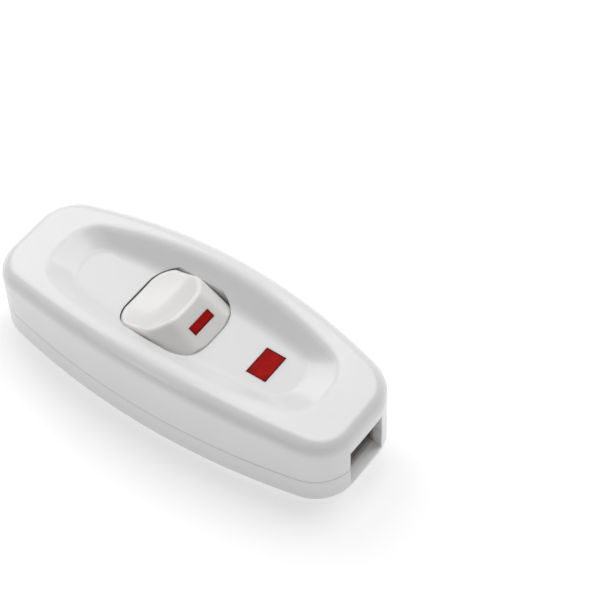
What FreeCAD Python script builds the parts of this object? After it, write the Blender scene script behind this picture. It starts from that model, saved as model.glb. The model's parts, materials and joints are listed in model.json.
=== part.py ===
import FreeCAD, Part
import math
import os

# Inline cord switch. Millimetres. The origin is the centre of the underside, +X runs along the
# switch towards the end with the red field, +Y runs to the back and +Z is up.

# Housing
LENGTH = 80.0
WIDTH = 32.2
HEIGHT = 19.0
CROWN_DROP = 3.75
SIDE_RADIUS = 151.0
END_RADIUS = 320.0
CORNER_RADIUS = 8.5
RIM_OUTER_RADIUS = 2.9
FOOT_RADIUS = 0.95
WALL = 2.0
END_WALL = 2.7
PARTING = 6.0
SEAM_BREAK = 0.1
BASE_FLOOR = 2.2
LIP_HEIGHT = 1.2
LIP_THICKNESS = 0.9
LIP_GAP = 0.1

# Thumb recess in the top
RECESS_DEPTH = 3.75
RECESS_END_MARGIN = 14.5
RECESS_SIDE_MARGIN = 9.1
RECESS_END_RUN = 13.3
RECESS_SIDE_RUN = 4.7
RECESS_CORNER_SHARE = 1.0
RECESS_END_RADIUS = 40.0
RECESS_BRIM_SHARE = 0.72
RECESS_BRIM_RADIUS = 300.0
RECESS_FOOT_RADIUS = 3.5
RECESS_RIM_RADIUS = 3.0

# Cord inlets
INLET_WIDTH = 10.0
INLET_HEIGHT = 9.6
INLET_SILL = 1.4
INLET_SILL_RISE = 0.8

# Red fields
MARK_X = 17.65
MARK_LENGTH = 4.4
MARK_WIDTH = 6.6
MARK_DEPTH = 0.4
MARK_GAP = 0.02
ROCKER_MARK_LENGTH = 1.85
ROCKER_MARK_WIDTH = 5.7
ROCKER_MARK_REACH = 4.1

# Rocker
ROCKER_X = -3.05
ROCKER_LENGTH = 18.0
ROCKER_WIDTH = 16.6
PAD_CORNER_LENGTH = 2.6
PAD_CORNER_WIDTH = 4.9
MARK_CORNER_LENGTH = 3.6
MARK_CORNER_WIDTH = 6.3
ROCKER_SPLIT = -1.5
ROCKER_GAP = 0.25
ROCKER_WALL = 1.4
ROCKER_SKIRT = 1.4
ROCKER_SWING = 16.0
HINGE_DEPTH = 3.6
PAD_RADIUS = 18.5
PAD_CROSS_RADIUS = 38.0
PAD_RIM_RADIUS = 0.9
RIDGE_X = 2.5
RIDGE_RISE = 4.1
MARK_FACE_SLOPE = 32.0
HIP_MARGIN = 4.15
HIP_SLOPE_X = 0.543
HIP_SLOPE_Y = 0.753
HIP_RADIUS = 3.0
TRUNNION_RADIUS = 1.5
TRUNNION_LENGTH = 1.7
TRUNNION_GAP = 0.06
WELL_WALL = 1.6
WELL_DROP = 1.6
HINGE_POST_LENGTH = 2.6

# Plunger and spring
PLUNGER_RADIUS = 1.4
PLUNGER_TOP = 0.4
PLUNGER_GAP = 0.08
PLUNGER_TRAVEL_GAP = 0.06
TUBE_WALL = 1.0
TUBE_DROP = 2.0
BORE_TOP = 3.6
SPRING_RADIUS = 1.0
SPRING_WIRE = 0.2
SPRING_TURNS = 4.0
SPRING_GAP = 0.05
SPIGOT_RISE = 0.9

# Contact bridge and its contacts
BRIDGE_SWING = 12.0
BRIDGE_RISE = 3.378
BRIDGE_THICKNESS = 0.8
BRIDGE_WIDTH = 4.0
BRIDGE_CONTACT_ARM = 7.4
BRIDGE_STOP_ARM = 6.6
CONTACT_X = 5.9
CONTACT_RADIUS = 1.4
CONTACT_THICKNESS = 0.6
CONTACT_GAP = 0.06
CONTACT_SHANK = 0.7
CONTACT_HEAD = 0.3
CONTACT_HEAD_RADIUS = 1.05
SHANK_GAP = 0.03
KNUCKLE_PIN = 0.6
KNUCKLE_GAP = 0.05
KNUCKLE_WALL = 0.6
EAR_WIDTH = 1.2
EAR_GAP = 0.3
STOP_GAP = 0.06

# Terminals
STRIP = 0.8
STRIP_MARGIN = 0.6
STRIP_OVERLAP = 2.5
STOP_INSET = 0.4
BLOCK_REACH = 16.5
BLOCK_LENGTH = 6.0
BLOCK_MIDDLE = 1.44
BLOCK_HEIGHT = 6.0
BLOCK_BREAK = 0.3
BLOCK_GAP = 0.1
BLOCK_RIB = 0.9
BLOCK_RIB_HEIGHT = 3.0
WIRE_BORE = 1.4
WIRE_BORE_HEIGHT = 2.7
LINK_GAP = 0.94
TERMINAL_SCREW = 1.25
TERMINAL_HEAD_MARGIN = 0.5
TERMINAL_HEAD_HEIGHT = 1.5
TERMINAL_SCREW_LIFT = 0.8
TERMINAL_SCREW_TIP = 0.6
SCREW_GAP = 0.03
SCREW_END_GAP = 0.05
SLOT_WIDTH = 0.7
SLOT_DEPTH = 0.8

# Cord clamps
CLAMP_INSET = 8.0
CLAMP_LENGTH = 4.5
CLAMP_SIDE_GAP = 1.31
CLAMP_THICKNESS = 2.2
CLAMP_CORNER = 1.0
CLAMP_SEAT = 8.6
CLAMP_TOOTH = 0.8
CLAMP_TOOTH_PITCH = 1.8
CLAMP_TOOTH_GAP = 0.45
CLAMP_POST = 1.95
CLAMP_POST_INSET = 2.0
CLAMP_SCREW = 1.0
CLAMP_HEAD = 1.9
CLAMP_HEAD_HEIGHT = 1.3
CLAMP_SCREW_REACH = 4.5

# Housing screws
POST_RADIUS = 2.6
POST_GAP = 0.2
HOUSING_SCREW = 1.1
HOUSING_HEAD = 1.9
HOUSING_HEAD_HEIGHT = 1.5
HOUSING_HEAD_GAP = 0.1
HOUSING_SEAT = 3.0
CROSS_HALF = 1.14
HOUSING_SCREW_TOP = 12.0

# Places that follow from the sizes above
RECESS_FLOOR = HEIGHT - RECESS_DEPTH
HINGE_Z = RECESS_FLOOR - HINGE_DEPTH
BARREL_RADIUS = math.hypot(ROCKER_LENGTH / 2, HINGE_DEPTH)
HALF_SWING = ROCKER_SWING / 2
BRIDGE_Z = BASE_FLOOR + BRIDGE_RISE
TIP_LIFT = BRIDGE_THICKNESS + PLUNGER_RADIUS + PLUNGER_TRAVEL_GAP
TIP_CENTRE = HINGE_Z - BRIDGE_Z - TIP_LIFT / math.cos(math.radians(BRIDGE_SWING / 2))
BRIDGE_HALF = BRIDGE_WIDTH / 2
CONTACT_SEAT = BRIDGE_Z - 2 * CONTACT_THICKNESS - CONTACT_GAP
EAR_INNER = BRIDGE_HALF + EAR_GAP
EAR_OUTER = EAR_INNER + EAR_WIDTH
SPAN = max(LENGTH, WIDTH) * 2


def vec(x, y, z):
    return FreeCAD.Vector(x, y, z)


def box(x0, x1, y0, y1, z0, z1):
    return Part.makeBox(x1 - x0, y1 - y0, z1 - z0, vec(x0, y0, z0))


def post(x, y, z0, z1, radius):
    return Part.makeCylinder(radius, z1 - z0, vec(x, y, z0))


def rod_y(x, z, y0, y1, radius):
    return Part.makeCylinder(radius, y1 - y0, vec(x, y0, z), vec(0, 1, 0))


def slab(points, y0, y1):
    """Closed outline in the XZ plane drawn across from y0 to y1."""
    corners = [vec(x, y0, z) for x, z in points]
    face = Part.Face(Part.makePolygon(corners + corners[:1]))
    return face.extrude(vec(0, y1 - y0, 0))


def joined(shapes):
    whole = shapes[0].fuse(shapes[1:])
    return whole.removeSplitter()


def outline_parts(half_length, half_width, side_radius, end_radius, corner):
    """Centres and tangent points of one quarter of the boat-shaped outline."""
    side_y = half_width - side_radius
    end_x = half_length - end_radius
    to_side = side_radius - corner
    to_end = end_radius - corner
    apart = math.hypot(end_x, side_y)
    along = (to_side ** 2 - to_end ** 2 + apart ** 2) / (2 * apart)
    off = math.sqrt(to_side ** 2 - along ** 2)
    ux = end_x / apart
    uy = -side_y / apart
    spots = []
    for sign in (1, -1):
        spots.append((ux * along - sign * uy * off, side_y + uy * along + sign * ux * off))
    cx, cy = max(spots)
    side_len = math.hypot(cx, cy - side_y)
    end_len = math.hypot(cx - end_x, cy)
    on_side = (cx / side_len * side_radius, side_y + (cy - side_y) / side_len * side_radius)
    on_end = (end_x + (cx - end_x) / end_len * end_radius, cy / end_len * end_radius)
    dx = on_side[0] + on_end[0] - 2 * cx
    dy = on_side[1] + on_end[1] - 2 * cy
    size = math.hypot(dx, dy)
    on_corner = (cx + dx / size * corner, cy + dy / size * corner)
    return on_side, on_corner, on_end


def outline(half_length, half_width, side_radius, end_radius, corner, z):
    """Boat-shaped outline at height z: bowed sides and ends with round corners, all tangent."""
    side, mid, end = outline_parts(half_length, half_width, side_radius, end_radius, corner)

    def arc(a, b, c):
        return Part.Arc(vec(a[0], a[1], z), vec(b[0], b[1], z), vec(c[0], c[1], z)).toShape()

    def turned(p, sx, sy):
        return (p[0] * sx, p[1] * sy)

    edges = []
    edges.append(arc(turned(end, 1, -1), (half_length, 0), end))
    edges.append(arc(end, mid, side))
    edges.append(arc(side, (0, half_width), turned(side, -1, 1)))
    edges.append(arc(turned(side, -1, 1), turned(mid, -1, 1), turned(end, -1, 1)))
    edges.append(arc(turned(end, -1, 1), (-half_length, 0), turned(end, -1, -1)))
    edges.append(arc(turned(end, -1, -1), turned(mid, -1, -1), turned(side, -1, -1)))
    edges.append(arc(turned(side, -1, -1), (0, -half_width), turned(side, 1, -1)))
    edges.append(arc(turned(side, 1, -1), turned(mid, 1, -1), turned(end, 1, -1)))
    return Part.Wire(edges)


def housing_prism(z0, z1, side_inset=0.0, end_inset=0.0):
    """Prism of the housing outline, drawn in by an inset at the sides and one at the ends."""
    wire = outline(LENGTH / 2 - end_inset, WIDTH / 2 - side_inset, SIDE_RADIUS - side_inset,
                   END_RADIUS - end_inset, CORNER_RADIUS - side_inset, z0)
    return Part.Face(wire).extrude(vec(0, 0, z1 - z0))


def inner_half_width(x):
    """Half width between the side walls at a place along the switch."""
    radius = SIDE_RADIUS - WALL
    return WIDTH / 2 - WALL - radius + math.sqrt(radius ** 2 - x ** 2)


def crown_radius():
    """Radius of the arch along the top."""
    return ((LENGTH / 2) ** 2 + CROWN_DROP ** 2) / (2 * CROWN_DROP)


def crown(drop):
    """Everything under the arched top, lowered by a drop."""
    radius = crown_radius()
    reach = LENGTH / 2 + 1
    shoulder = HEIGHT - radius + math.sqrt((radius - drop) ** 2 - reach ** 2)
    right = vec(reach, -WIDTH, shoulder)
    left = vec(-reach, -WIDTH, shoulder)
    low_left = vec(-reach, -WIDTH, -1)
    low_right = vec(reach, -WIDTH, -1)
    edges = [Part.Arc(right, vec(0, -WIDTH, HEIGHT - drop), left).toShape(),
             Part.makeLine(left, low_left),
             Part.makeLine(low_left, low_right),
             Part.makeLine(low_right, right)]
    return Part.Face(Part.Wire(edges)).extrude(vec(0, 2 * WIDTH, 0))


def edges_at(shape, z):
    """Edges that lie flat at height z."""
    flat = []
    for edge in shape.Edges:
        if abs(edge.BoundBox.ZMin - z) < 1e-4 and abs(edge.BoundBox.ZMax - z) < 1e-4:
            flat.append(edge)
    return flat


def recess(grow):
    """Boat-shaped hollow of the thumb recess, widened and deepened by a wall when grow is set."""
    half_length = LENGTH / 2 - RECESS_END_MARGIN + grow
    half_width = WIDTH / 2 - RECESS_SIDE_MARGIN + grow
    low = RECESS_FLOOR - grow
    high = HEIGHT - grow + 1
    share = (high - low) / (HEIGHT - RECESS_FLOOR)
    brim_width = half_width + RECESS_SIDE_RUN * share
    end_width = half_width - SIDE_RADIUS + math.sqrt(SIDE_RADIUS ** 2 - half_length ** 2)
    foot = outline(half_length, half_width, SIDE_RADIUS, RECESS_END_RADIUS,
                   end_width * RECESS_CORNER_SHARE, low)
    brim = outline(half_length + RECESS_END_RUN * share, brim_width, RECESS_BRIM_RADIUS,
                   RECESS_END_RADIUS, brim_width * RECESS_BRIM_SHARE, high)
    walls = [Part.makeRuledSurface(a, b) for a, b in zip(foot.Edges, brim.Edges)]
    hollow = Part.Solid(Part.Shell(walls + [Part.Face(foot), Part.Face(brim)]))
    hollow.fix(1e-6, 1e-6, 1e-6)
    if grow == 0.0:
        hollow = hollow.makeFillet(RECESS_FOOT_RADIUS, edges_at(hollow, low))
    return hollow


def barrel_turn(grow, corner, rise):
    """Barrel turned about the rocker hinge, its corners a length by a width, widened by grow."""
    half = ROCKER_WIDTH / 2 + grow
    rim = BARREL_RADIUS + grow
    flat = ROCKER_WIDTH / 2 - rise
    side = math.hypot(ROCKER_LENGTH / 2 - corner, HINGE_DEPTH)
    fall = BARREL_RADIUS - side
    bend = (rise ** 2 + fall ** 2) / (2 * fall)
    centre = BARREL_RADIUS - bend
    bend = bend + grow
    side = centre + math.sqrt(max(bend ** 2 - (half - flat) ** 2, 0.0))
    turn = math.atan2(half - flat, side - centre) / 2
    mid_r = centre + bend * math.cos(turn)
    mid_y = flat + bend * math.sin(turn)

    def at(r, y):
        return vec(ROCKER_X + r, y, HINGE_Z)

    edges = [Part.makeLine(at(0, -half), at(side, -half)),
             Part.Arc(at(side, -half), at(mid_r, -mid_y), at(rim, -flat)).toShape(),
             Part.makeLine(at(rim, -flat), at(rim, flat)),
             Part.Arc(at(rim, flat), at(mid_r, mid_y), at(side, half)).toShape(),
             Part.makeLine(at(side, half), at(0, half)),
             Part.makeLine(at(0, half), at(0, -half))]
    return Part.Face(Part.Wire(edges)).revolve(vec(ROCKER_X, 0, HINGE_Z), vec(0, 1, 0), 360)


def barrel(grow):
    """The rocker's ends and sides: a fuller barrel under the pad and a rounder one under the mark."""
    split = ROCKER_X + ROCKER_SPLIT
    pad_end = barrel_turn(grow, PAD_CORNER_LENGTH, PAD_CORNER_WIDTH)
    mark_end = barrel_turn(grow, MARK_CORNER_LENGTH, MARK_CORNER_WIDTH)
    return joined([pad_end.common(box(-SPAN, split, -SPAN, SPAN, -SPAN, SPAN)),
                   mark_end.common(box(split, SPAN, -SPAN, SPAN, -SPAN, SPAN))])


def housing_post_spots():
    """Places of the two housing screws, on a diagonal beside the terminal blocks."""
    spots = []
    for sign in (-1, 1):
        x = ROCKER_X + sign * BLOCK_REACH
        y = inner_half_width(abs(x) + POST_RADIUS) - POST_GAP - POST_RADIUS
        spots.append((x, -sign * y))
    return spots


def block_width():
    """Room for a terminal block between the middle and the screw posts."""
    nearest = min(abs(y) for x, y in housing_post_spots())
    return nearest - POST_RADIUS - POST_GAP - BLOCK_MIDDLE


def block_centre():
    """Distance of the terminal blocks from the middle line."""
    return BLOCK_MIDDLE + block_width() / 2


def inlets():
    """Square cord inlets through both end walls, with sills that rise inwards."""
    top = INLET_SILL + INLET_HEIGHT
    slope = INLET_SILL_RISE / END_WALL
    cuts = []
    for sign in (-1, 1):
        inner = sign * (LENGTH / 2 - END_WALL - 1)
        outer = sign * (LENGTH / 2 + 1)
        points = [(outer, INLET_SILL - slope), (outer, top), (inner, top),
                  (inner, INLET_SILL + INLET_SILL_RISE + slope)]
        cuts.append(slab(points, -INLET_WIDTH / 2, INLET_WIDTH / 2))
    return cuts


def make_shell():
    """Whole outer body with its arched top, before it is split at the seam."""
    body = housing_prism(0, HEIGHT + 1).common(crown(0.0))
    top = [e for e in body.Edges if e.BoundBox.ZMin > PARTING + 1]
    body = body.makeFillet(RIM_OUTER_RADIUS, top)
    return body.makeFillet(FOOT_RADIUS, edges_at(body, 0))


def make_cover(shell):
    """Upper half: arched rim, thumb recess, rocker well, screw bosses and a rebate for the lip."""
    half = shell.common(box(-SPAN, SPAN, -SPAN, SPAN, PARTING, SPAN))
    half = half.makeChamfer(SEAM_BREAK, edges_at(half, PARTING))
    half = half.cut(recess(0.0))
    rim = [e for e in half.Edges if rim_edge(e)]
    half = half.makeFillet(RECESS_RIM_RADIUS, rim)
    room = housing_prism(PARTING - 1, HEIGHT, WALL, END_WALL).common(crown(WALL))
    well = barrel(ROCKER_GAP + WELL_WALL).common(
        box(-SPAN, SPAN, -SPAN, SPAN, HINGE_Z - WELL_DROP, RECESS_FLOOR))
    bosses = [post(x, y, PARTING, HEIGHT, POST_RADIUS) for x, y in housing_post_spots()]
    room = room.cut([recess(WALL), well] + bosses)
    rebate = housing_prism(PARTING - 1, PARTING + LIP_HEIGHT + LIP_GAP, WALL - LIP_THICKNESS - LIP_GAP,
                           END_WALL - LIP_THICKNESS - LIP_GAP)
    rebate = rebate.cut(bosses)
    slots = [barrel(ROCKER_GAP)]
    reach = ROCKER_WIDTH / 2 + ROCKER_GAP + WELL_WALL + 1
    slot = TRUNNION_RADIUS + TRUNNION_GAP
    slots.append(rod_y(ROCKER_X, HINGE_Z, -reach, reach, slot))
    slots.append(box(ROCKER_X - slot, ROCKER_X + slot, -reach, reach, PARTING, HINGE_Z))
    for x, y in housing_post_spots():
        slots.append(post(x, y, PARTING - 1, HOUSING_SCREW_TOP + SCREW_END_GAP, HOUSING_SCREW + SCREW_GAP))
    slots.append(box(MARK_X - MARK_LENGTH / 2 - MARK_GAP, MARK_X + MARK_LENGTH / 2 + MARK_GAP,
                     -MARK_WIDTH / 2 - MARK_GAP, MARK_WIDTH / 2 + MARK_GAP,
                     RECESS_FLOOR - MARK_DEPTH - MARK_GAP, RECESS_FLOOR + 1))
    return half.cut([room, rebate] + slots + inlets())


def rim_edge(edge):
    """True on the edge where the recess walls meet the arched top."""
    box_of = edge.BoundBox
    inside = max(abs(box_of.YMin), abs(box_of.YMax)) < WIDTH / 2 - RIM_OUTER_RADIUS
    return inside and box_of.ZMin > RECESS_FLOOR + RECESS_DEPTH / 3 and on_crown(edge)


def on_crown(edge):
    """True when an edge lies on the arched top."""
    radius = crown_radius()
    for share in (0.1, 0.5, 0.9):
        first, last = edge.ParameterRange
        spot = edge.valueAt(first + (last - first) * share)
        if abs(math.hypot(spot.x, spot.z - HEIGHT + radius) - radius) > 1e-3:
            return False
    return True


def make_base(shell):
    """Lower half: floor, lip, screw posts, clamp posts, hinge posts and ribs that hold the blocks."""
    half = shell.common(box(-SPAN, SPAN, -SPAN, SPAN, -1, PARTING))
    half = half.makeChamfer(SEAM_BREAK, edges_at(half, PARTING))
    room = housing_prism(BASE_FLOOR, PARTING + LIP_HEIGHT + 1, WALL, END_WALL)
    lip = housing_prism(PARTING - 1, PARTING + LIP_HEIGHT, WALL - LIP_THICKNESS, END_WALL - LIP_THICKNESS)
    adds = []
    for x, y in housing_post_spots():
        adds.append(post(x, y, BASE_FLOOR - 0.5, PARTING, POST_RADIUS))
    for x, y in clamp_screw_spots():
        adds.append(post(x, y, BASE_FLOOR - 0.5, CLAMP_SEAT, CLAMP_POST))
    for sign in (-1, 1):
        y0, y1 = sorted((sign * (ROCKER_WIDTH / 2 + ROCKER_GAP + TRUNNION_GAP),
                         sign * (ROCKER_WIDTH / 2 + TRUNNION_LENGTH)))
        adds.append(box(ROCKER_X - HINGE_POST_LENGTH / 2, ROCKER_X + HINGE_POST_LENGTH / 2, y0, y1,
                        BASE_FLOOR - 0.5, HINGE_Z - TRUNNION_RADIUS - TRUNNION_GAP))
        x = sign * (LENGTH / 2 - CLAMP_INSET)
        for step in (-1, 0, 1):
            adds.append(tooth(x + step * CLAMP_TOOTH_PITCH, BASE_FLOOR, CLAMP_TOOTH))
        for side in (-1, 1):
            x = ROCKER_X + sign * BLOCK_REACH
            for edge in (-1, 1):
                y0 = side * block_centre() + edge * (block_width() / 2 + BLOCK_GAP)
                y0, y1 = sorted((y0, y0 + edge * BLOCK_RIB))
                adds.append(box(x - BLOCK_LENGTH / 2, x + BLOCK_LENGTH / 2, y0, y1, BASE_FLOOR - 0.5,
                                BASE_FLOOR + BLOCK_RIB_HEIGHT))
    half = joined([half, lip]).cut(room)
    half = joined([half] + adds)
    cuts = inlets()
    for x, y in housing_post_spots():
        cuts.append(post(x, y, -1, HOUSING_SEAT, HOUSING_HEAD + HOUSING_HEAD_GAP))
        cuts.append(post(x, y, -1, PARTING + 1, HOUSING_SCREW + SCREW_GAP))
    for x, y in clamp_screw_spots():
        cuts.append(post(x, y, CLAMP_SCREW_REACH - SCREW_END_GAP, CLAMP_SEAT + 1, CLAMP_SCREW + SCREW_GAP))
    return half.cut(cuts)


def clamp_half():
    """Half the length of a cord clamp, short of the side walls."""
    return inner_half_width(LENGTH / 2 - CLAMP_INSET + CLAMP_LENGTH / 2) - CLAMP_SIDE_GAP


def clamp_screw_spots():
    """Places of the four clamp screws, near the ends of the clamps."""
    spots = []
    for sign in (-1, 1):
        for side in (-1, 1):
            spots.append((sign * (LENGTH / 2 - CLAMP_INSET), side * (clamp_half() - CLAMP_POST_INSET)))
    return spots


def tooth(x, z, rise):
    """Grip rib across the cord, pointing up or down by its rise."""
    half = CLAMP_TOOTH_PITCH / 2
    reach = clamp_half() - CLAMP_POST_INSET - CLAMP_POST - CLAMP_TOOTH_GAP
    return slab([(x - half, z), (x + half, z), (x, z + rise)], -reach, reach)


def pad_line():
    """Middle of the pad's chord and the unit direction along it, in the XZ plane."""
    run = RIDGE_X + ROCKER_LENGTH / 2
    chord = math.hypot(run, RIDGE_RISE)
    middle = vec(ROCKER_X + RIDGE_X - run / 2, 0, HINGE_Z + HINGE_DEPTH + RIDGE_RISE / 2)
    return middle, vec(run / chord, 0, RIDGE_RISE / chord), chord


def pad_centre():
    """Centre of the pad's arc and the direction up from the pad."""
    middle, along, chord = pad_line()
    up = vec(-along.z, 0, along.x)
    return middle + up * math.sqrt(PAD_RADIUS ** 2 - (chord / 2) ** 2), up


def scoop(wall):
    """Everything above the pad: its arc swept about an axis along the switch, so it dishes both ways."""
    middle, along, chord = pad_line()
    centre, up = pad_centre()
    radius = PAD_RADIUS + wall
    half = min(chord, radius * 0.95)
    drop = math.sqrt(radius ** 2 - half ** 2)
    axis = centre + up * (PAD_CROSS_RADIUS - PAD_RADIUS)
    left = centre - along * half - up * drop
    right = centre + along * half - up * drop
    edges = [Part.Arc(left, centre - up * radius, right).toShape(),
             Part.makeLine(right, axis + along * half),
             Part.makeLine(axis + along * half, axis - along * half),
             Part.makeLine(axis - along * half, left)]
    side = Part.Face(Part.Wire(edges))
    side.rotate(axis, along, -90)
    return side.revolve(axis, along, 180)


def rocker_body(wall):
    """Barrel trimmed by the dished pad, the marked face and its two hips, all drawn in by a wall."""
    top = HINGE_Z + HINGE_DEPTH + RIDGE_RISE
    slope = math.tan(math.radians(MARK_FACE_SLOPE))
    cuts = [scoop(wall),
            box(-SPAN, SPAN, -SPAN, SPAN, top + RIDGE_RISE, SPAN),
            half_space(vec(ROCKER_X + RIDGE_X, 0, top), vec(slope, 0, 1), wall)]
    for side in (-1, 1):
        spot = vec(ROCKER_X + RIDGE_X, side * (ROCKER_WIDTH / 2 - HIP_MARGIN), top)
        cuts.append(half_space(spot, vec(HIP_SLOPE_X, side * HIP_SLOPE_Y, 1), wall))
    return barrel(-wall).cut(cuts)


def half_space(spot, normal, drop):
    """Large block on the upper side of a plane, moved down along its normal by a drop."""
    normal.normalize()
    block = Part.makeBox(SPAN, SPAN, SPAN, vec(-SPAN / 2, -SPAN / 2, 0))
    block.Placement = FreeCAD.Placement(spot - normal * drop, FreeCAD.Rotation(vec(0, 0, 1), normal))
    return block


def tilted(shape):
    """Shape drawn level with the hinge, turned to the pictured position of the rocker."""
    shape.rotate(vec(ROCKER_X, 0, HINGE_Z), vec(0, 1, 0), -HALF_SWING)
    return shape


def on_rocker(x, z0, z1, radius):
    return tilted(post(ROCKER_X + x, 0, HINGE_Z + z0, HINGE_Z + z1, radius))


def make_rocker():
    """Hollow rocker with trunnions, plunger tube and a pocket for its red field."""
    body = rocker_body(0.0)
    body = soften(body)
    low = tilted(box(ROCKER_X - SPAN, ROCKER_X + SPAN, -SPAN, SPAN, HINGE_Z - SPAN, HINGE_Z - ROCKER_SKIRT))
    body = body.cut(low)
    bore = PLUNGER_RADIUS + PLUNGER_GAP
    tube = on_rocker(0, -TUBE_DROP, BORE_TOP + ROCKER_WALL, bore + TUBE_WALL)
    hollow = rocker_body(ROCKER_WALL).cut(tube)
    body = body.cut(hollow)
    tube = tube.common(rocker_body(ROCKER_WALL / 2))
    reach = ROCKER_WIDTH / 2 + TRUNNION_LENGTH
    inner = ROCKER_WIDTH / 2 - ROCKER_WALL / 2
    pins = [rod_y(ROCKER_X, HINGE_Z, inner, reach, TRUNNION_RADIUS),
            rod_y(ROCKER_X, HINGE_Z, -reach, -inner, TRUNNION_RADIUS)]
    body = joined([body, tube] + pins)
    return body.cut([on_rocker(0, -TUBE_DROP - 1, BORE_TOP, bore), rocker_mark_block(MARK_GAP, 1.0)])


def soften(body):
    """Rounds the edges of the two hips and then the whole rim of the pad."""
    hips = [e for e in body.Edges if is_hip(e)]
    body = body.makeFillet(HIP_RADIUS, hips)
    return body.makeFillet(PAD_RIM_RADIUS, pad_face(body).Edges)


def pad_face(body):
    """Face that holds the lowest line of the pad."""
    centre, up = pad_centre()
    spot = Part.Vertex(centre - up * PAD_RADIUS)
    return min(body.Faces, key=lambda face: face.distToShape(spot)[0])


def is_hip(edge):
    """True on the straight sloping edges on both sides of each hip."""
    if edge.Curve.TypeId != "Part::GeomLine":
        return False
    box_of = edge.BoundBox
    sloped = box_of.ZLength > RIDGE_RISE / 2 and box_of.XLength > RIDGE_RISE / 2
    return sloped and box_of.ZMax > HINGE_Z + HINGE_DEPTH + RIDGE_RISE / 2


def rocker_mark_block(gap, above):
    """Block of the rocker's red field, lying flush in the marked face."""
    half_length = ROCKER_MARK_LENGTH / 2 + gap
    half_width = ROCKER_MARK_WIDTH / 2 + gap
    block = box(ROCKER_MARK_REACH - half_length, ROCKER_MARK_REACH + half_length, -half_width, half_width,
                -MARK_DEPTH - gap, above)
    block.rotate(vec(0, 0, 0), vec(0, 1, 0), MARK_FACE_SLOPE)
    block.translate(vec(ROCKER_X + RIDGE_X, 0, HINGE_Z + HINGE_DEPTH + RIDGE_RISE))
    return block


def make_cover_mark():
    return box(MARK_X - MARK_LENGTH / 2, MARK_X + MARK_LENGTH / 2, -MARK_WIDTH / 2, MARK_WIDTH / 2,
               RECESS_FLOOR - MARK_DEPTH, RECESS_FLOOR)


def make_plunger():
    """Round-nosed plunger in the rocker's tube."""
    stem = post(ROCKER_X, 0, HINGE_Z - TIP_CENTRE, HINGE_Z + PLUNGER_TOP, PLUNGER_RADIUS)
    nose = Part.makeSphere(PLUNGER_RADIUS, vec(ROCKER_X, 0, HINGE_Z - TIP_CENTRE))
    spigot = post(ROCKER_X, 0, HINGE_Z, HINGE_Z + PLUNGER_TOP + SPIGOT_RISE,
                  SPRING_RADIUS - SPRING_WIRE - SPRING_GAP)
    return tilted(joined([stem, nose, spigot]))


def make_spring():
    """Coil spring between the plunger and the blind end of the tube."""
    low = PLUNGER_TOP + SPRING_WIRE + SPRING_GAP
    length = BORE_TOP - SPRING_WIRE - SPRING_GAP - low
    helix = Part.makeHelix(length / SPRING_TURNS, length, SPRING_RADIUS)
    ring = Part.Wire(Part.makeCircle(SPRING_WIRE, vec(SPRING_RADIUS, 0, 0), vec(0, 1, 0)))
    coil = Part.Wire(helix).makePipeShell([ring], True, True)
    coil.translate(vec(ROCKER_X, 0, HINGE_Z + low))
    return tilted(coil)


def make_bridge():
    """Bent contact strip that tips on two round crests; its contact arm lies level as pictured."""
    turn = math.radians(BRIDGE_SWING)
    t = BRIDGE_THICKNESS
    left = (-BRIDGE_STOP_ARM * math.cos(turn), BRIDGE_STOP_ARM * math.sin(turn))
    points = [(0, 0), (BRIDGE_CONTACT_ARM, 0), (BRIDGE_CONTACT_ARM, t), (t * math.tan(turn / 2), t),
              (left[0] + t * math.sin(turn), left[1] + t * math.cos(turn)), left]
    strip = slab([(ROCKER_X + x, BRIDGE_Z + z) for x, z in points], -BRIDGE_HALF, BRIDGE_HALF)
    inner = KNUCKLE_PIN + KNUCKLE_GAP
    end = EAR_OUTER + KNUCKLE_GAP
    knuckle = rod_y(ROCKER_X, BRIDGE_Z, -end, end, inner + KNUCKLE_WALL)
    clear = BRIDGE_HALF - KNUCKLE_WALL
    knuckle = knuckle.cut([rod_y(ROCKER_X, BRIDGE_Z, -end - 1, end + 1, inner),
                           box(-SPAN, SPAN, -SPAN, SPAN, BRIDGE_Z - SPAN, BRIDGE_Z),
                           box(-SPAN, SPAN, -clear, clear, 0, SPAN)])
    body = joined([strip, knuckle])
    hole = post(ROCKER_X + CONTACT_X, 0, BRIDGE_Z - 1, BRIDGE_Z + 2, CONTACT_SHANK + SHANK_GAP)
    return body.cut(hole)


def rivet(z, thickness, face_up, plate):
    """Contact rivet: a flat face, a shank through a plate and a small closing head."""
    x = ROCKER_X + CONTACT_X
    way = 1 if face_up else -1
    back = -way * (plate + SHANK_GAP)
    spans = [(0, way * thickness, CONTACT_RADIUS),
             (back, way * thickness / 2, CONTACT_SHANK),
             (back, back - way * CONTACT_HEAD, CONTACT_HEAD_RADIUS)]
    solids = []
    for a, b, radius in spans:
        low, high = sorted((a, b))
        solids.append(post(x, 0, z + low, z + high, radius))
    return joined(solids)


def block_solid(x, y):
    """Terminal block with a cross bore for the wire and a hole for its screw."""
    body = box(x - BLOCK_LENGTH / 2, x + BLOCK_LENGTH / 2, y - block_width() / 2, y + block_width() / 2,
               BASE_FLOOR, BASE_FLOOR + BLOCK_HEIGHT)
    return body.makeChamfer(BLOCK_BREAK, edges_at(body, BASE_FLOOR + BLOCK_HEIGHT))


def block_cuts(x, y):
    z = BASE_FLOOR + WIRE_BORE_HEIGHT
    wire = Part.makeCylinder(WIRE_BORE, BLOCK_LENGTH + 2, vec(x - BLOCK_LENGTH / 2 - 1, y, z), vec(1, 0, 0))
    screw = post(x, y, z, BASE_FLOOR + BLOCK_HEIGHT + 1, TERMINAL_SCREW + SCREW_GAP)
    return [wire, screw]


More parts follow.
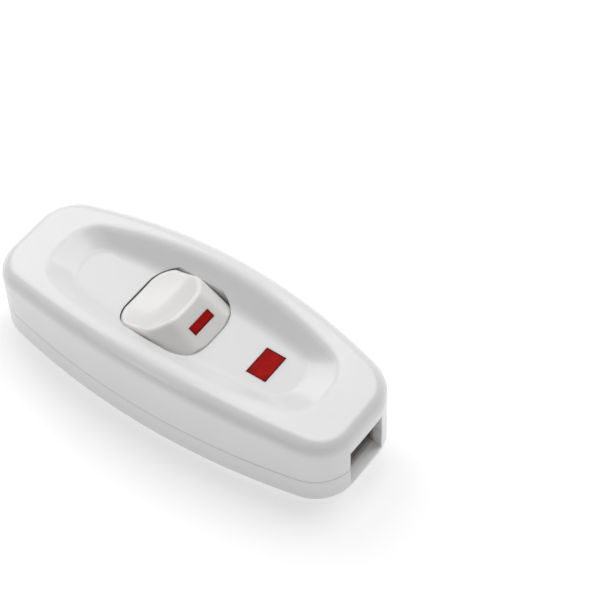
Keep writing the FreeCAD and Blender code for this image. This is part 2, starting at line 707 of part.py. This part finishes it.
def block_spots():
    """Line-in, line-out and the two neutral blocks."""
    y = block_centre()
    left = ROCKER_X - BLOCK_REACH
    right = ROCKER_X + BLOCK_REACH
    return [(left, -y), (right, -y), (left, y), (right, y)]


def make_fulcrum_terminal():
    """Line terminal with the two crests that carry the bridge and a stop for its free arm."""
    x, y = block_spots()[0]
    top = BASE_FLOOR + STRIP
    inner_edge = y + block_width() / 2
    stop = ROCKER_X - BRIDGE_STOP_ARM
    step = stop - STRIP_MARGIN
    solids = [block_solid(x, y),
              box(x, step, y - block_width() / 2, inner_edge, BASE_FLOOR, top),
              box(step - STRIP_OVERLAP, ROCKER_X + KNUCKLE_PIN + STRIP_MARGIN, -EAR_OUTER, EAR_OUTER,
                  BASE_FLOOR, top)]
    for side in (-1, 1):
        y0, y1 = sorted((side * EAR_INNER, side * EAR_OUTER))
        solids.append(box(ROCKER_X - KNUCKLE_PIN, ROCKER_X + KNUCKLE_PIN, y0, y1, BASE_FLOOR, BRIDGE_Z))
        solids.append(rod_y(ROCKER_X, BRIDGE_Z, y0, y1, KNUCKLE_PIN))
    solids.append(box(stop + STOP_INSET, stop + STOP_INSET + STRIP, -BRIDGE_HALF, BRIDGE_HALF, BASE_FLOOR,
                      BRIDGE_Z - STOP_GAP))
    return joined(solids).cut(block_cuts(x, y))


def make_contact_terminal():
    """Line terminal with a raised shelf under the bridge's contact arm."""
    x, y = block_spots()[1]
    top = BASE_FLOOR + STRIP
    seat = CONTACT_SEAT
    shelf = ROCKER_X + CONTACT_X - CONTACT_RADIUS - STRIP_MARGIN
    riser = ROCKER_X + CONTACT_X + CONTACT_RADIUS + STRIP_MARGIN
    solids = [block_solid(x, y),
              box(shelf, riser + STRIP, -BRIDGE_HALF, BRIDGE_HALF, seat - STRIP, seat),
              box(riser, riser + STRIP, -BRIDGE_HALF, BRIDGE_HALF, BASE_FLOOR, seat),
              box(riser, riser + STRIP_OVERLAP, -EAR_OUTER, BRIDGE_HALF, BASE_FLOOR, top),
              box(riser + STRIP, x, y - block_width() / 2, y + block_width() / 2, BASE_FLOOR, top)]
    hole = post(ROCKER_X + CONTACT_X, 0, seat - STRIP - 1, seat + 1, CONTACT_SHANK + SHANK_GAP)
    return joined(solids).cut(block_cuts(x, y) + [hole])


def make_neutral_link():
    """Neutral bar: two blocks joined by a strip beside the bridge."""
    (x0, y), (x1, y) = block_spots()[2:]
    outer = y + block_width() / 2
    strip = box(x0, x1, EAR_OUTER + LINK_GAP, outer, BASE_FLOOR, BASE_FLOOR + STRIP)
    bar = joined([block_solid(x0, y), block_solid(x1, y), strip])
    return bar.cut(block_cuts(x0, y) + block_cuts(x1, y))


def slotted_screw(x, y, tip, seat, shank, head, head_height):
    """Cheese-head screw with one driving slot, its head above the seat."""
    top = seat + head_height
    body = joined([post(x, y, tip, seat + head_height / 2, shank), post(x, y, seat, top, head)])
    half = SLOT_WIDTH / 2
    return body.cut(box(x - head - 1, x + head + 1, y - half, y + half, top - SLOT_DEPTH, top + 1))


def make_terminal_screws(spots):
    seat = BASE_FLOOR + BLOCK_HEIGHT + TERMINAL_SCREW_LIFT
    tip = BASE_FLOOR + WIRE_BORE_HEIGHT + TERMINAL_SCREW_TIP
    head = block_width() / 2 - TERMINAL_HEAD_MARGIN
    screws = []
    for x, y in spots:
        screws.append(slotted_screw(x, y, tip, seat, TERMINAL_SCREW, head, TERMINAL_HEAD_HEIGHT))
    return Part.makeCompound(screws)


def make_clamp(sign):
    """Cord clamp bar with two grip ribs underneath and a screw hole at each end."""
    x = sign * (LENGTH / 2 - CLAMP_INSET)
    half = clamp_half()
    bar = box(x - CLAMP_LENGTH / 2, x + CLAMP_LENGTH / 2, -half, half, CLAMP_SEAT,
              CLAMP_SEAT + CLAMP_THICKNESS)
    bar = bar.makeFillet(CLAMP_CORNER, [e for e in bar.Edges if e.BoundBox.ZLength > CLAMP_THICKNESS / 2])
    ribs = [tooth(x + step * CLAMP_TOOTH_PITCH / 2, CLAMP_SEAT, -CLAMP_TOOTH) for step in (-1, 1)]
    holes = []
    for side in (-1, 1):
        holes.append(post(x, side * (half - CLAMP_POST_INSET), CLAMP_SEAT - 1,
                          CLAMP_SEAT + CLAMP_THICKNESS + 1, CLAMP_SCREW + SCREW_GAP))
    return joined([bar] + ribs).cut(holes)


def make_clamp_screws(spots):
    seat = CLAMP_SEAT + CLAMP_THICKNESS
    screws = []
    for x, y in spots:
        screws.append(slotted_screw(x, y, CLAMP_SCREW_REACH, seat, CLAMP_SCREW, CLAMP_HEAD,
                                    CLAMP_HEAD_HEIGHT))
    return Part.makeCompound(screws)


def make_housing_screws():
    """Cross-recess screws up through the base into the cover's bosses."""
    screws = []
    for x, y in housing_post_spots():
        low = HOUSING_SEAT - HOUSING_HEAD_HEIGHT
        body = joined([post(x, y, low, HOUSING_SEAT, HOUSING_HEAD),
                       post(x, y, HOUSING_SEAT - 0.5, HOUSING_SCREW_TOP, HOUSING_SCREW)])
        reach = CROSS_HALF
        half = SLOT_WIDTH / 2
        cross = [box(x - reach, x + reach, y - half, y + half, low - 1, low + SLOT_DEPTH),
                 box(x - half, x + half, y - reach, y + reach, low - 1, low + SLOT_DEPTH)]
        screws.append(body.cut(cross))
    return Part.makeCompound(screws)


def main():
    os.makedirs("parts", exist_ok=True)
    shell = make_shell()
    clamps = clamp_screw_spots()
    blocks = block_spots()
    nodes = {
        "cover": make_cover(shell),
        "base": make_base(shell),
        "rocker": make_rocker(),
        "cover_mark": make_cover_mark(),
        "rocker_mark": rocker_mark_block(0.0, 0.0),
        "plunger": make_plunger(),
        "plunger_spring": make_spring(),
        "contact_bridge": make_bridge(),
        "bridge_contact": rivet(BRIDGE_Z, CONTACT_THICKNESS, False, BRIDGE_THICKNESS),
        "fulcrum_terminal": make_fulcrum_terminal(),
        "contact_terminal": make_contact_terminal(),
        "fixed_contact": rivet(CONTACT_SEAT, CONTACT_THICKNESS, True, STRIP),
        "neutral_link": make_neutral_link(),
        "line_screws": make_terminal_screws(blocks[:2]),
        "neutral_screws": make_terminal_screws(blocks[2:]),
        "cord_clamp_near": make_clamp(1),
        "cord_clamp_far": make_clamp(-1),
        "clamp_screws_near": make_clamp_screws(clamps[2:]),
        "clamp_screws_far": make_clamp_screws(clamps[:2]),
        "housing_screws": make_housing_screws(),
    }
    for name, shape in nodes.items():
        shape.exportStep("parts/" + name + ".step")


if __name__ == "__main__":
    main()
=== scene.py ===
import json

import bpy
import numpy as np
from mathutils import Matrix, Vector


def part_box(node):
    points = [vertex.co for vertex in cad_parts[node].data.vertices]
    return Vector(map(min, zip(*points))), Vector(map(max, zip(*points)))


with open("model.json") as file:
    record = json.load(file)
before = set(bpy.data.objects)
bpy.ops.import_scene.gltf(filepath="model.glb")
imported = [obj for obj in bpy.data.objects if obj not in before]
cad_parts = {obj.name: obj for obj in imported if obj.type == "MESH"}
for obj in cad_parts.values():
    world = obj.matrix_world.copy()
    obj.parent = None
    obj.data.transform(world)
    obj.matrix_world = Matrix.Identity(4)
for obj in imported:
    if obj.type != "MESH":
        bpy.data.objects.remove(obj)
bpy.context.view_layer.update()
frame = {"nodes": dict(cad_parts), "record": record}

# Lengths are in metres, colours are linear and a noise is given by its number of lumps in a metre.
WHITE = (1, 1, 1, 1)

# The range that a noise mostly stays in, and the rays that feel for an edge.
NOISE_LOW = 0.3
NOISE_HIGH = 0.7
EDGE_SAMPLES = 6

# Skin of the plastics: light enters a little way, and a thin gloss lies on top.
PLASTIC_IOR = 1.52
MILKY_SHARE = 0.6
MILKY_DEPTH = 0.0012
MILKY_COLOUR_REACH = (1.0, 0.95, 0.9)
COAT_ROUGHNESS = 0.14
SHADE_LUMPS = 70
GLOSS_LUMPS = 260
PEEL_LUMPS = 1500
PEEL_SHARE = 0.5

# Rooms behind the cord inlets, as one box folded onto both ends, with the painted shade of their walls: a
# darker grey that stands in for the shade inside.
ROOM_LOW = (0.026, -0.009, 0.0018)
ROOM_HIGH = (0.0382, 0.009, 0.013)
ROOM_REACH = 0.0004
ROOM_SHADE_GREY = (0.42, 0.395, 0.38)

# Paint of the red fields, with painted shade along their sides.
PAINT_RIM_SHADE_REACH = 0.00045
PAINT_TOP = 0.04
PAINT_LUMPS = 620
PAINT_MOTTLE = 0.62
PAINT_GLOSS_LUMPS = 1400
PAINT_ROUGHNESS = (0.50, 0.62)
PAINT_SPECULAR = 0.06
PIT_LUMPS = 4200
PIT_DEPTH = 0.000006
PIT_SHARE = 0.6

# Worked metals.
STAIN_LUMPS = 420
GRAIN_LUMPS = 1200
GRAIN_DEPTH = 0.000008
GRAIN_SHARE = 0.5
METAL_EDGE = 0.00008

PLASTICS = {
    "housing_white": {
        "dark": (0.775, 0.773, 0.775), "light": (0.80, 0.798, 0.80), "rough": (0.30, 0.38),
        "coat": 0.5, "peel": 0.000004, "edge": 0.00018, "painted_room_shade": True,
    },
    "rocker_white": {
        "dark": (0.785, 0.778, 0.764), "light": (0.815, 0.808, 0.794), "rough": (0.30, 0.38),
        "coat": 0.5, "peel": 0.000004, "edge": 0.00016,
    },
    "clamp_plastic": {
        "dark": (0.40, 0.35, 0.32), "light": (0.50, 0.44, 0.41), "rough": (0.50, 0.62),
        "coat": 0.0, "peel": 0.000012, "edge": 0.00015,
    },
    "nylon": {
        "dark": (0.62, 0.60, 0.52), "light": (0.70, 0.68, 0.60), "rough": (0.42, 0.55),
        "coat": 0.0, "peel": 0.000008, "edge": 0.0001,
    },
}

METALS = {
    "spring_steel": {
        "dark": (0.30, 0.30, 0.31), "light": (0.46, 0.46, 0.47),
        "rough": (0.28, 0.42), "grain": (1, 1, 6),
    },
    "zinc_steel": {
        "dark": (0.52, 0.53, 0.55), "light": (0.66, 0.67, 0.68),
        "rough": (0.24, 0.40), "grain": (1, 1, 1),
    },
    "copper": {
        "dark": (0.52, 0.22, 0.11), "light": (0.66, 0.32, 0.17),
        "rough": (0.26, 0.42), "grain": (0.15, 1, 1),
    },
    "brass": {
        "dark": (0.56, 0.38, 0.13), "light": (0.70, 0.50, 0.20),
        "rough": (0.24, 0.42), "grain": (0.15, 1, 1),
    },
    "silver": {
        "dark": (0.68, 0.67, 0.65), "light": (0.80, 0.79, 0.77),
        "rough": (0.20, 0.36), "grain": (1, 1, 1),
    },
}

PAINTS = {
    "cover_mark": {
        "rim_shade": (0.10, 0.001, 0.001), "dark": (0.27, 0.003, 0.003), "light": (0.43, 0.007, 0.005),
    },
    "rocker_mark": {
        "rim_shade": (0.17, 0.002, 0.002), "dark": (0.31, 0.004, 0.003), "light": (0.44, 0.008, 0.006),
    },
}

# Floor: flat over its extent, then curving up past the bend.
FLOOR_HALF_WIDTH = 6
FLOOR_FRONT = -6
FLOOR_BACK = 10
FLOOR_BEND = 6.0
FLOOR_CURVE = 0.35
FLOOR_DROP = 0.0001
FLOOR_COLS = 13
FLOOR_ROWS = 129
FLOOR_DARK = (0.70, 0.70, 0.70)
FLOOR_LIGHT = (0.72, 0.72, 0.72)
FLOOR_LUMPS = 8
FLOOR_ROUGHNESS = 0.9
FLOOR_SPECULAR = 0.1
FLOOR_GLOW = 0.43

# Lamps, each with its spot, its size and its power in watts, and the direction their sides are set across.
LAMPS = {
    "soft_box_left": ((-1.06, 0.44, 0.96), 0.9, 6.1),
    "soft_box_back": ((-0.44, 1.06, 0.96), 0.9, 2.2),
    "soft_box_top": ((0.0, 0.63, 1.36), 0.9, 7.5),
    "soft_box_front": ((-0.50, -1.02, 0.64), 0.28, 0.6),
}
LAMP_ACROSS = (0.0, 1.0, 0.001)
SURROUND_STRENGTH = 0.36

# Camera: its right, up and back directions and its spot, with the focal length in widths of the picture.
CAMERA_RIGHT = (0.81218842, 0.58298958, -0.02175127)
CAMERA_UP = (-0.44511477, 0.64334844, 0.62287690)
CAMERA_BACK = (0.37712439, -0.49621159, 0.78201742)
CAMERA_SPOT = (0.169261, -0.188574, 0.337380)
CAMERA_FOCAL = 2199.9 / 600
SENSOR_WIDTH = 36.0
NEAREST_SEEN = 0.01


def linked(tree, a, a_out, b, b_in):
    """Links an output of one node to an input of another."""
    tree.links.new(a.outputs[a_out], b.inputs[b_in])


def new_material(name):
    """An empty node material with one shader and one place reader on the piece's own coordinates."""
    mat = bpy.data.materials.new(name)
    mat.use_nodes = True
    tree = mat.node_tree
    tree.nodes.clear()
    out = tree.nodes.new("ShaderNodeOutputMaterial")
    shader = tree.nodes.new("ShaderNodeBsdfPrincipled")
    place = tree.nodes.new("ShaderNodeTexCoord")
    linked(tree, shader, "BSDF", out, "Surface")
    return mat, tree, shader, place


def noise(tree, place, lumps, detail, roughness=0.5):
    """Smooth noise in the piece's own metres."""
    node = tree.nodes.new("ShaderNodeTexNoise")
    node.inputs["Scale"].default_value = lumps
    node.inputs["Detail"].default_value = detail
    node.inputs["Roughness"].default_value = roughness
    linked(tree, place, "Object", node, "Vector")
    return node


def spread(tree, source, low, high):
    """Maps the usual range of a noise onto a range of values."""
    node = tree.nodes.new("ShaderNodeMapRange")
    node.inputs["From Min"].default_value = NOISE_LOW
    node.inputs["From Max"].default_value = NOISE_HIGH
    node.inputs["To Min"].default_value = low
    node.inputs["To Max"].default_value = high
    linked(tree, source, "Fac", node, "Value")
    return node


def tint(tree, source, dark, light):
    """Runs the usual range of a noise between two close colours."""
    node = tree.nodes.new("ShaderNodeValToRGB")
    node.color_ramp.elements[0].position = NOISE_LOW
    node.color_ramp.elements[0].color = (*dark, 1)
    node.color_ramp.elements[1].position = NOISE_HIGH
    node.color_ramp.elements[1].color = (*light, 1)
    linked(tree, source, "Fac", node, "Fac")
    return node


def raised(tree, shader, source, depth, strength, edge=None):
    """Turns a noise into height of a given depth, over edges that look rounded by a small radius."""
    bump = tree.nodes.new("ShaderNodeBump")
    bump.inputs["Strength"].default_value = strength
    bump.inputs["Distance"].default_value = depth
    linked(tree, source, "Fac", bump, "Height")
    if edge:
        soft = tree.nodes.new("ShaderNodeBevel")
        soft.samples = EDGE_SAMPLES
        soft.inputs["Radius"].default_value = edge
        linked(tree, soft, "Normal", bump, "Normal")
    linked(tree, bump, "Normal", shader, "Normal")


def vector_step(tree, operation, first, second):
    """One step of vector arithmetic on two inputs, each a node's output or a fixed vector."""
    node = tree.nodes.new("ShaderNodeVectorMath")
    node.operation = operation
    for slot, value in enumerate((first, second)):
        if isinstance(value, bpy.types.NodeSocket):
            tree.links.new(value, node.inputs[slot])
        else:
            node.inputs[slot].default_value = value
    return node.outputs["Vector"]


def box_share(tree, place, low, high, reach):
    """Share from 0 at the sides of a box to 1 at a reach inside it.

    Places are folded across the middle of the switch, so that one box stands for both ends. The share
    follows the least of the three side distances, each the half size less the distance from the box's
    middle."""
    low, high = np.array(low), np.array(high)
    folded = vector_step(tree, "ABSOLUTE", place.outputs["Object"], (0, 0, 0))
    off = vector_step(tree, "SUBTRACT", folded, ((low + high) / 2).tolist())
    distance = vector_step(tree, "ABSOLUTE", off, (0, 0, 0))
    inside = vector_step(tree, "SUBTRACT", ((high - low) / 2).tolist(), distance)
    sides = tree.nodes.new("ShaderNodeSeparateXYZ")
    tree.links.new(inside, sides.inputs["Vector"])
    least = sides.outputs["X"]
    for name in ("Y", "Z"):
        lower = tree.nodes.new("ShaderNodeMath")
        lower.operation = "MINIMUM"
        tree.links.new(least, lower.inputs[0])
        tree.links.new(sides.outputs[name], lower.inputs[1])
        least = lower.outputs["Value"]
    share = tree.nodes.new("ShaderNodeMapRange")
    share.interpolation_type = "SMOOTHSTEP"
    share.inputs["From Max"].default_value = reach
    tree.links.new(least, share.inputs["Value"])
    return share


def mixed(tree, share, outer, inner):
    """Runs from an outer colour to an inner one with a share, each a node's colour or a fixed colour."""
    node = tree.nodes.new("ShaderNodeMix")
    node.data_type = "RGBA"
    linked(tree, share, "Result", node, 0)
    for slot, colour in ((6, outer), (7, inner)):
        if isinstance(colour, tuple):
            node.inputs[slot].default_value = (*colour, 1)
        else:
            linked(tree, colour, "Color", node, slot)
    return node.outputs[2]


def moulded(name, dark, light, rough, coat, peel, edge, painted_room_shade=False):
    """Moulded plastic: slow drift of tone, milky depth, orange-peel skin and soft edges, and where asked
    painted shade on the walls of the rooms behind the inlets.
    """
    mat, tree, shader, place = new_material(name)
    body = tint(tree, noise(tree, place, SHADE_LUMPS, 3), dark, light)
    if painted_room_shade:
        # Painted shade: the walls inside the rooms behind the inlets run to a darker grey than the
        # plastic.
        share = box_share(tree, place, ROOM_LOW, ROOM_HIGH, ROOM_REACH)
        tree.links.new(mixed(tree, share, body, ROOM_SHADE_GREY), shader.inputs["Base Color"])
    else:
        linked(tree, body, "Color", shader, "Base Color")
    gloss = spread(tree, noise(tree, place, GLOSS_LUMPS, 4), *rough)
    linked(tree, gloss, "Result", shader, "Roughness")
    shader.inputs["IOR"].default_value = PLASTIC_IOR
    shader.inputs["Subsurface Weight"].default_value = MILKY_SHARE
    shader.inputs["Subsurface Radius"].default_value = MILKY_COLOUR_REACH
    shader.inputs["Subsurface Scale"].default_value = MILKY_DEPTH
    shader.inputs["Coat Weight"].default_value = coat
    shader.inputs["Coat Roughness"].default_value = COAT_ROUGHNESS
    raised(tree, shader, noise(tree, place, PEEL_LUMPS, 3), peel, PEEL_SHARE, edge)
    return mat


def painted(node, rim_shade, dark, light):
    """Paint in a shallow field: mottled pigment, painted shade darkening it along the sides, low gloss and
    fine pits.
    """
    mat, tree, shader, place = new_material(node + "_paint")
    body = tint(tree, noise(tree, place, PAINT_LUMPS, 5, PAINT_MOTTLE), dark, light)
    low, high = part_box(node)
    # Painted shade: the red runs darker towards the sides of the field.
    share = box_share(tree, place, (low[0], low[1], 0), (high[0], high[1], PAINT_TOP), PAINT_RIM_SHADE_REACH)
    tree.links.new(mixed(tree, share, rim_shade, body), shader.inputs["Base Color"])
    gloss = spread(tree, noise(tree, place, PAINT_GLOSS_LUMPS, 3), *PAINT_ROUGHNESS)
    linked(tree, gloss, "Result", shader, "Roughness")
    shader.inputs["Specular IOR Level"].default_value = PAINT_SPECULAR
    raised(tree, shader, noise(tree, place, PIT_LUMPS, 2), PIT_DEPTH, PIT_SHARE)
    return mat


def metal(name, dark, light, rough, grain):
    """Worked metal: drawn grain along the strip, small stains and an uneven polish."""
    mat, tree, shader, place = new_material(name)
    lay = tree.nodes.new("ShaderNodeMapping")
    lay.inputs["Scale"].default_value = grain
    linked(tree, place, "Object", lay, "Vector")
    drawn = tree.nodes.new("ShaderNodeTexNoise")
    drawn.inputs["Scale"].default_value = GRAIN_LUMPS
    drawn.inputs["Detail"].default_value = 4
    linked(tree, lay, "Vector", drawn, "Vector")
    stained = tint(tree, noise(tree, place, STAIN_LUMPS, 4), dark, light)
    linked(tree, stained, "Color", shader, "Base Color")
    linked(tree, spread(tree, drawn, *rough), "Result", shader, "Roughness")
    shader.inputs["Metallic"].default_value = 1.0
    raised(tree, shader, drawn, GRAIN_DEPTH, GRAIN_SHARE, METAL_EDGE)
    return mat


def dress():
    """Gives each piece its paint, or else the finish of its material."""
    finishes = {name: moulded(name, **look) for name, look in PLASTICS.items()}
    finishes.update({name: metal(name, **look) for name, look in METALS.items()})
    paints = {name: painted(name, **look) for name, look in PAINTS.items()}
    for part in frame["record"]["subparts"]:
        node = frame["nodes"][part["node"]]
        node.data.materials.clear()
        node.data.materials.append(paints.get(part["node"]) or finishes[part["material_slot"]])


def ground():
    """Pale studio floor that curves up behind: height grows with the square of the way past the bend."""
    across, along = np.meshgrid(np.linspace(-FLOOR_HALF_WIDTH, FLOOR_HALF_WIDTH, FLOOR_COLS),
                                np.linspace(FLOOR_FRONT, FLOOR_BACK, FLOOR_ROWS))
    height = FLOOR_CURVE * np.clip(along - FLOOR_BEND, 0, None) ** 2
    spots = np.stack([across, along, height - FLOOR_DROP], axis=-1).reshape(-1, 3)
    rows, cols = across.shape
    first = (np.arange(rows - 1)[:, None] * cols + np.arange(cols - 1)).reshape(-1)
    faces = np.stack([first, first + 1, first + 1 + cols, first + cols], axis=-1)
    mesh = bpy.data.meshes.new("floor")
    mesh.from_pydata(spots.tolist(), [], faces.tolist())
    mesh.update()
    floor = bpy.data.objects.new("floor", mesh)
    bpy.context.scene.collection.objects.link(floor)
    mat, tree, shader, place = new_material("floor_paper")
    paper = tint(tree, noise(tree, place, FLOOR_LUMPS, 3), FLOOR_DARK, FLOOR_LIGHT)
    linked(tree, paper, "Color", shader, "Base Color")
    shader.inputs["Roughness"].default_value = FLOOR_ROUGHNESS
    shader.inputs["Specular IOR Level"].default_value = FLOOR_SPECULAR
    shader.inputs["Emission Color"].default_value = WHITE
    shader.inputs["Emission Strength"].default_value = FLOOR_GLOW
    mesh.materials.append(mat)


def lamp(name, spot, size, power):
    """Square soft box at a spot, turned to face the switch."""
    light = bpy.data.lights.new(name, "AREA")
    light.shape = "SQUARE"
    light.size = size
    light.energy = power
    obj = bpy.data.objects.new(name, light)
    back = np.array(spot) / np.linalg.norm(spot)
    side = np.cross(LAMP_ACROSS, back)
    side /= np.linalg.norm(side)
    turn = np.eye(4)
    turn[:3, :3] = np.stack([side, np.cross(back, side), back], axis=1)
    turn[:3, 3] = spot
    obj.matrix_world = Matrix(turn.tolist())
    bpy.context.scene.collection.objects.link(obj)


def studio():
    """Three soft boxes behind and to the left, a small one in front and an even surround, all white."""
    for name, (spot, size, power) in LAMPS.items():
        lamp(name, spot, size, power)
    world = bpy.data.worlds.new("surround")
    world.use_nodes = True
    backdrop = world.node_tree.nodes["Background"]
    backdrop.inputs["Color"].default_value = WHITE
    backdrop.inputs["Strength"].default_value = SURROUND_STRENGTH
    bpy.context.scene.world = world
    bpy.context.scene.view_settings.view_transform = "Standard"


def camera():
    """Long lens at the pictured angle."""
    lens = bpy.data.cameras.new("camera")
    lens.sensor_width = SENSOR_WIDTH
    lens.lens = CAMERA_FOCAL * SENSOR_WIDTH
    lens.clip_start = NEAREST_SEEN
    obj = bpy.data.objects.new("camera", lens)
    turn = np.eye(4)
    turn[:3, :] = np.stack([CAMERA_RIGHT, CAMERA_UP, CAMERA_BACK, CAMERA_SPOT], axis=1)
    obj.matrix_world = Matrix(turn.tolist())
    bpy.context.scene.collection.objects.link(obj)
    bpy.context.scene.camera = obj


dress()
ground()
studio()
camera()
